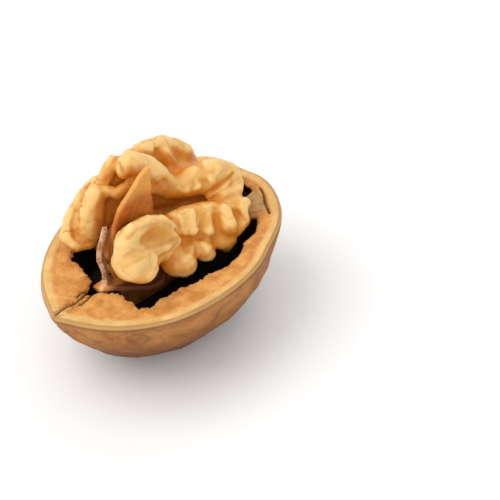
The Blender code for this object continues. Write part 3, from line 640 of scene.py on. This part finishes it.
def wingPoint(across, out):
    length = across * partition["wingLength"]
    reach = float(np.interp(length, *zip(*wingEdge)))
    return Vector((partition["tip"] + length, 0.2 - out * reach,
                   partition["wingDrop"] + 0.9 * out ** 2 - 0.2 * across * out))


def flapPoint(across, up):
    place, side, height, width = [float(np.interp(up * (len(flapLine) - 1), range(len(flapLine)), row))
                                  for row in zip(*flapLine)]
    return Vector((place + (across - 0.5) * width, side + (across - 0.5) * width * 0.9, height))


def footPoint(across, out):
    along = partition["tip"] + across * partition["footLength"]
    height = partition["footDrop"] + 0.6 * math.sin(math.pi * out) - 0.2
    return Vector((along, out * partition["footWidth"] - 0.6, height))


sheets = {  # form, columns, rows
    "blade": (bladePoint, 24, 60), "wing": (wingPoint, 40, 16),
    "flap": (flapPoint, 10, 30), "foot": (footPoint, 12, 10),
}


def sheetPiece(name, form, columns, rows, waves):
    work = bmesh.new()
    bmesh.ops.create_grid(work, x_segments=columns, y_segments=rows, size=0.5)
    for vertex in work.verts:
        point = form(vertex.co.x + 0.5, vertex.co.y + 0.5)
        place = point / partition["waveSize"] + Vector((4.0, 1.0, 6.0))
        point += waves * noise.noise_vector(place)
        vertex.co = point * mm
    mesh = bpy.data.meshes.new(name)
    work.to_mesh(mesh)
    work.free()
    piece = addPiece(name, mesh)
    wall = piece.modifiers.new("wall", "SOLIDIFY")
    wall.thickness = partition["thick"]
    wall.offset = 0.0
    return settled(piece, name)


def joinedSheets(name, waves):
    work = bmesh.new()
    for label, (form, columns, rows) in sheets.items():
        piece = sheetPiece(label, form, columns, rows, waves)
        work.from_mesh(piece.data)
        bpy.data.objects.remove(piece, do_unlink=True)
    mesh = bpy.data.meshes.new(name)
    work.to_mesh(mesh)
    work.free()
    return addPiece(name, mesh)


def sheetShare(points, form, columns, rows):  # how near each point is to one sheet, 0 to 1
    tree = kdtree.KDTree((columns + 1) * (rows + 1))
    for i in range(columns + 1):
        for j in range(rows + 1):
            tree.insert(form(i / columns, j / rows) * mm, i * (rows + 1) + j)
    tree.balance()
    away = np.array([tree.find(Vector(p))[2] for p in points])
    return rampOf(1.1 * mm, 0.5 * mm, away)


def makePartition(material):
    piece = joinedSheets("partitionSheets", partition["waves"])
    piece = skinned(piece, "partition", partition["voxel"], 3)
    mesh = piece.data
    points = pointsOf(mesh)
    normals = normalsOf(mesh)
    grain = noiseAt(points, partition["grainSize"], Vector((1.0, 6.0, 2.0)))
    keepMask(mesh, "flap", sheetShare(points, *sheets["flap"]))
    keepMask(mesh, "wing", sheetShare(points, *sheets["wing"]))
    keepMask(mesh, "crown", rampOf(10.0 * mm, 13.0 * mm, points[:, 2]))
    # painted shadow: the wing is near black on the near side of the blade, where the near lobe shades it
    keepMask(mesh, "wingShadow", rampOf(-0.6 * mm, -2.4 * mm, points[:, 1]))
    fold = lineDistance(points, np.array(pointFold) * mm)
    keepMask(mesh, "point", rampOf(0.9 * mm, 0.4 * mm, fold))
    inner = averaged(mesh, points, 10)
    # painted highlight: the free edges of the sheets are painted lighter
    keepMask(mesh, "edge", rampOf(0.05 * mm, 0.22 * mm, np.linalg.norm(points - inner, axis=1)))
    points = points + normals * (partition["grain"] * grain)[:, None]
    points[:, 0] += shell["centreShift"]
    points[:, 2] += shell["rimZ"]
    movePoints(mesh, points)
    finish(piece, "septum", material)
    print("partition", len(mesh.polygons))
    return piece


def makeSlotCutter():
    slot = skinned(joinedSheets("slotSheets", 0.0), "slotSkin", partition["slotVoxel"], 1)
    grow = slot.modifiers.new("clearance", "DISPLACE")
    grow.direction = "NORMAL"
    grow.mid_level = 0.0
    grow.strength = kernel["clearance"]
    return skinned(slot, "slotCutter", partition["slotVoxel"] * 1.4, 0)


# Materials

def newGroup(name, inputs, outputs):
    group = bpy.data.node_groups.new(name, "ShaderNodeTree")
    for label, kind, value in inputs:
        socket = group.interface.new_socket(name=label, in_out="INPUT", socket_type=kind)
        socket.default_value = value
    for label, kind in outputs:
        group.interface.new_socket(name=label, in_out="OUTPUT", socket_type=kind)
    start = group.nodes.new("NodeGroupInput")
    end = group.nodes.new("NodeGroupOutput")
    return group, start, end


def addNode(tree, kind, **settings):
    node = tree.nodes.new(kind)
    for key, value in settings.items():
        setattr(node, key, value)
    return node


def mathNode(tree, operation, *values):
    node = addNode(tree, "ShaderNodeMath", operation=operation)
    for socket, value in zip(node.inputs, values):
        if isinstance(value, (int, float)):
            socket.default_value = value
        else:
            tree.links.new(value, socket)
    return node.outputs[0]


def mixColour(tree, share, first, second):
    node = addNode(tree, "ShaderNodeMix", data_type="RGBA")
    for socket, value in ((node.inputs[0], share), (node.inputs[6], first), (node.inputs[7], second)):
        if isinstance(value, (int, float)):
            socket.default_value = value
        elif isinstance(value, tuple):
            socket.default_value = (*value, 1.0)
        else:
            tree.links.new(value, socket)
    return node.outputs[2]


def maskNode(tree, name):
    return addNode(tree, "ShaderNodeAttribute", attribute_name=name).outputs["Fac"]


def remapNode(tree, value, low, high):
    node = addNode(tree, "ShaderNodeMapRange", interpolation_type="SMOOTHSTEP")
    tree.links.new(value, node.inputs["Value"])
    node.inputs["From Min"].default_value = low
    node.inputs["From Max"].default_value = high
    return node.outputs["Result"]


def noiseNode(tree, place, scale, detail=3.0, roughness=0.5, distortion=0.0):
    node = addNode(tree, "ShaderNodeTexNoise")
    tree.links.new(place, node.inputs["Vector"])
    node.inputs["Scale"].default_value = scale
    node.inputs["Detail"].default_value = detail
    node.inputs["Roughness"].default_value = roughness
    node.inputs["Distortion"].default_value = distortion
    return node.outputs["Fac"]


def buildMottle():  # two colours mixed in soft patches, darkened in fine specks
    group, start, end = newGroup("mottle", [
        ("Vector", "NodeSocketVector", (0, 0, 0)), ("Light", "NodeSocketColor", (1, 1, 1, 1)),
        ("Dark", "NodeSocketColor", (0, 0, 0, 1)), ("Patch Scale", "NodeSocketFloat", 300.0),
        ("Speck Scale", "NodeSocketFloat", 2000.0), ("Speck Share", "NodeSocketFloat", 0.2),
    ], [("Color", "NodeSocketColor"), ("Patch", "NodeSocketFloat"), ("Speck", "NodeSocketFloat")])
    patch = addNode(group, "ShaderNodeTexNoise")
    speck = addNode(group, "ShaderNodeTexNoise")
    for node, label in ((patch, "Patch Scale"), (speck, "Speck Scale")):
        group.links.new(start.outputs["Vector"], node.inputs["Vector"])
        group.links.new(start.outputs[label], node.inputs["Scale"])
        node.inputs["Detail"].default_value = 4.0
        node.inputs["Roughness"].default_value = 0.6
    patches = remapNode(group, patch.outputs["Fac"], 0.32, 0.68)
    specks = remapNode(group, speck.outputs["Fac"], 0.52, 0.72)
    colour = mixColour(group, patches, start.outputs["Dark"], start.outputs["Light"])
    share = mathNode(group, "MULTIPLY", specks, start.outputs["Speck Share"])
    colour = mixColour(group, share, colour, start.outputs["Dark"])
    group.links.new(colour, end.inputs["Color"])
    group.links.new(patches, end.inputs["Patch"])
    group.links.new(specks, end.inputs["Speck"])
    return group


def placeMottle(tree, group, place, light, dark, patchScale, speckScale, speckShare):
    node = addNode(tree, "ShaderNodeGroup", node_tree=group)
    tree.links.new(place, node.inputs["Vector"])
    node.inputs["Light"].default_value = (*light, 1.0)
    node.inputs["Dark"].default_value = (*dark, 1.0)
    node.inputs["Patch Scale"].default_value = patchScale
    node.inputs["Speck Scale"].default_value = speckScale
    node.inputs["Speck Share"].default_value = speckShare
    return node


def layered(tree, colour, layers):  # each tone laid over the last by its mask, perhaps remapped
    for mask, share, tone, *ramp in layers:
        value = maskNode(tree, mask)
        if ramp:
            value = remapNode(tree, value, *ramp)
        colour = mixColour(tree, mathNode(tree, "MULTIPLY", value, share), colour, tone)
    return colour


def newMaterial(name):
    material = bpy.data.materials.new(name)
    material.use_nodes = True
    tree = material.node_tree
    place = addNode(tree, "ShaderNodeTexCoord").outputs["Object"]
    return material, tree, tree.nodes["Principled BSDF"], place


def bumpInto(tree, shader, height, strength, distance):
    bump = addNode(tree, "ShaderNodeBump")
    bump.inputs["Strength"].default_value = strength
    bump.inputs["Distance"].default_value = distance
    tree.links.new(height, bump.inputs["Height"])
    tree.links.new(bump.outputs["Normal"], shader.inputs["Normal"])


shellLook = {  # light and dark tone, patch scale, speck scale, and share of specks
    "inner": ((0.80, 0.40, 0.115), (0.56, 0.22, 0.045), 420, 2600, 0.55),
    "band": ((0.80, 0.52, 0.20), (0.66, 0.38, 0.12), 300, 1800, 0.35),
    "belly": ((0.50, 0.215, 0.055), (0.31, 0.105, 0.020), 240, 1500, 0.4),
    # the hollow tones are painted shade, near black for the shaded cavity
    "hollowShade": ((0.035, 0.012, 0.004), (0.010, 0.003, 0.001), 300, 1500, 0.5),
    "plate": ((0.60, 0.36, 0.15), (0.38, 0.18, 0.055), 500, 2400, 0.5),
}
bellyLayers = [  # mask, share and tone
    # under is painted shade on the lower belly
    ("under", 1.0, (0.13, 0.038, 0.006)), ("furrow", 0.7, (0.19, 0.065, 0.020)),
    ("brim", 1.0, (0.66, 0.38, 0.14)), ("seam", 1.0, (0.12, 0.042, 0.014)),
]


def shellMaterial(mottle):
    material, tree, shader, place = newMaterial("shellWood")
    look = {name: placeMottle(tree, mottle, place, *values) for name, values in shellLook.items()}
    tones = {name: node.outputs["Color"] for name, node in look.items()}
    colour = mixColour(tree, maskNode(tree, "band"), tones["inner"], tones["band"])
    colour = mixColour(tree, maskNode(tree, "plate"), colour, tones["plate"])
    fibres = remapNode(tree, noiseNode(tree, place, 1300, 3.0, 0.6, 1.5), 0.50, 0.60)
    fibres = mathNode(tree, "MULTIPLY", fibres, maskNode(tree, "fibre"))
    colour = mixColour(tree, mathNode(tree, "MULTIPLY", fibres, 0.75), colour, (0.33, 0.12, 0.025))
    colour = mixColour(tree, maskNode(tree, "crack"), colour, (0.10, 0.030, 0.006))
    colour = mixColour(tree, maskNode(tree, "belly"), colour, layered(tree, tones["belly"], bellyLayers))
    # painted shade laid over the hollow of the shell
    colour = mixColour(tree, maskNode(tree, "hollowShade"), colour, tones["hollowShade"])
    tree.links.new(colour, shader.inputs["Base Color"])
    rough = mathNode(tree, "MULTIPLY_ADD", look["belly"].outputs["Patch"], 0.12, 0.56)
    tree.links.new(rough, shader.inputs["Roughness"])
    shader.inputs["Specular IOR Level"].default_value = 0.22
    bumpInto(tree, shader, noiseNode(tree, place, 1600, 5.0, 0.65), 0.5, 0.00012)
    return material


kernelLook = ((0.84, 0.47, 0.13), (0.68, 0.31, 0.055), 260, 1500, 0.25)
kernelLayers = [  # mask, share and tone, and the values between which the mask is remapped
    # painted highlight: the ridges and the open, unshaded faces are painted a lighter cream
    ("ridge", 0.62, (0.93, 0.63, 0.25)), ("shade", 0.30, (0.92, 0.62, 0.24), 0.20, 0.04),
    # the next two layers are painted shade: darker orange in recesses and in creases
    ("shadeSpots", 0.6, (0.70, 0.28, 0.02)), ("creaseShade", 0.8, (0.56, 0.20, 0.018)),
    # painted shade: the crease lines and the shut-in places are darker orange; the line layer also holds
    # the veins' own darker tone
    ("line", 0.6, (0.50, 0.18, 0.02)), ("shade", 0.88, (0.62, 0.21, 0.012), 0.08, 0.40),
    # painted shade: the most shut-in places deep orange, and the lower lobes near black
    ("shade", 1.0, (0.66, 0.20, 0.010), 0.66, 1.0), ("low", 1.0, (0.008, 0.003, 0.001)),
]


def kernelMaterial(mottle):
    material, tree, shader, place = newMaterial("kernelSkin")
    skin = placeMottle(tree, mottle, place, *kernelLook)
    colour = layered(tree, skin.outputs["Color"], kernelLayers)
    tree.links.new(colour, shader.inputs["Base Color"])
    rough = mathNode(tree, "MULTIPLY_ADD", skin.outputs["Speck"], 0.14, 0.34)
    rough = mathNode(tree, "MAXIMUM", rough, maskNode(tree, "low"))
    tree.links.new(rough, shader.inputs["Roughness"])
    shader.inputs["Specular IOR Level"].default_value = 0.36
    shader.inputs["Subsurface Weight"].default_value = 0.12
    shader.inputs["Subsurface Radius"].default_value = (1.0, 0.45, 0.15)
    shader.inputs["Subsurface Scale"].default_value = 0.0012
    bumpInto(tree, shader, noiseNode(tree, place, 1100, 4.0, 0.55), 0.35, 0.00010)
    return material


partitionLook = ((0.72, 0.27, 0.045), (0.46, 0.13, 0.015), 300, 1800, 0.4)
# painted highlight: the edge layer lightens the sheets' free edges
bladeLayers = [("crown", 0.6, (0.90, 0.47, 0.11)), ("edge", 0.6, (0.88, 0.48, 0.15))]
paperTones = {
    # the second wing tone is painted shadow, near black
    "wing": (0.58, 0.23, 0.035), "wingShadowTone": (0.085, 0.020, 0.002),
    "flap": (0.70, 0.43, 0.25), "flapStreak": (0.30, 0.11, 0.028),
}
lastLayers = [("point", 1.0, (0.84, 0.50, 0.28)), ("shade", 0.7, (0.16, 0.035, 0.003), 0.50, 1.0)]


def partitionMaterial(mottle):
    material, tree, shader, place = newMaterial("partitionPaper")
    sheet = placeMottle(tree, mottle, place, *partitionLook)
    colour = layered(tree, sheet.outputs["Color"], bladeLayers)
    # painted shadow laid over the wing
    wing = mixColour(tree, maskNode(tree, "wingShadow"), paperTones["wing"], paperTones["wingShadowTone"])
    colour = mixColour(tree, maskNode(tree, "wing"), colour, wing)
    streaks = remapNode(tree, noiseNode(tree, place, 700, 4.0, 0.7), 0.44, 0.60)
    streaks = mathNode(tree, "MULTIPLY", streaks, 0.85)
    flap = mixColour(tree, streaks, paperTones["flap"], paperTones["flapStreak"])
    colour = mixColour(tree, maskNode(tree, "flap"), colour, flap)
    colour = layered(tree, colour, lastLayers)
    tree.links.new(colour, shader.inputs["Base Color"])
    shader.inputs["Roughness"].default_value = 0.55
    shader.inputs["Specular IOR Level"].default_value = 0.30
    bumpInto(tree, shader, noiseNode(tree, place, 1500, 4.0, 0.6), 0.4, 0.00010)
    return material


# Floor, light and camera

studio = {"floorHalf": 1.5, "floorTone": 0.91, "floorRough": 0.6, "sky": 0.78, "aim": (0.0, 0.0, 0.012)}


def makeFloor():
    work = bmesh.new()
    bmesh.ops.create_grid(work, x_segments=2, y_segments=2, size=studio["floorHalf"])
    mesh = bpy.data.meshes.new("floor")
    work.to_mesh(mesh)
    work.free()
    floor = addPiece("floor", mesh)
    material, _, shader, _ = newMaterial("paleFloor")
    shader.inputs["Base Color"].default_value = (*[studio["floorTone"]] * 3, 1.0)
    shader.inputs["Roughness"].default_value = studio["floorRough"]
    floor.data.materials.append(material)


lights = {  # place round the nut, size in metres, power in watts, colour
    "keyLight": ((-0.28, 0.26, 0.58), 0.60, 2.4, (1.0, 0.985, 0.96)),
    "fillLight": ((-0.30, -0.45, 0.45), 0.60, 0.6, (0.99, 0.99, 1.0)),
    "rimLight": ((0.45, 0.25, 0.40), 0.40, 0.5, (1.0, 0.98, 0.95)),
}


def makeLights():
    world = bpy.data.worlds.new("softWorld")
    world.use_nodes = True
    world.node_tree.nodes["Background"].inputs["Color"].default_value = (1.0, 1.0, 1.0, 1.0)
    world.node_tree.nodes["Background"].inputs["Strength"].default_value = studio["sky"]
    bpy.context.scene.world = world
    aim = Vector(studio["aim"])
    for name, (place, size, power, colour) in lights.items():
        data = bpy.data.lights.new(name, "AREA")
        data.size = size
        data.energy = power
        data.color = colour
        lamp = bpy.data.objects.new(name, data)
        lamp.location = place
        lamp.rotation_euler = (aim - Vector(place)).to_track_quat("-Z", "Y").to_euler()
        bpy.context.scene.collection.objects.link(lamp)


camera = {"turn": 39.56, "rise": 43.89, "roll": 5.25, "distance": 0.42, "lens": 195.2,
          "shiftX": 0.177, "shiftY": -0.018}


def makeCamera():
    turn, rise = math.radians(camera["turn"]), math.radians(camera["rise"])
    back = Vector((-math.cos(rise) * math.sin(turn), -math.cos(rise) * math.cos(turn), math.sin(rise)))
    data = bpy.data.cameras.new("camera")
    data.lens = camera["lens"]
    data.shift_x = camera["shiftX"]
    data.shift_y = camera["shiftY"]
    data.clip_start = 0.01
    eye = bpy.data.objects.new("camera", data)
    rimMiddle = Vector((shell["centreShift"], 0.0, shell["rimZ"]))
    eye.matrix_world = (Matrix.Translation(rimMiddle + back * camera["distance"])
                        @ back.to_track_quat("Z", "Y").to_matrix().to_4x4()
                        @ Matrix.Rotation(-math.radians(camera["roll"]), 4, "Z"))
    bpy.context.scene.collection.objects.link(eye)
    bpy.context.scene.camera = eye


makeCamera()
makeLights()
makeFloor()
mottle = buildMottle()
shellPiece = makeShell(shellMaterial(mottle))
cutter = makeSlotCutter()
kernelPiece = makeKernel(kernelMaterial(mottle), cutter)
bpy.data.objects.remove(cutter, do_unlink=True)
partitionPiece = makePartition(partitionMaterial(mottle))
shadePieces([shellPiece, kernelPiece, partitionPiece], [kernelPiece, partitionPiece])
print("shade kept for the kernel and the partition")
bpy.context.scene.view_settings.view_transform = "Standard"
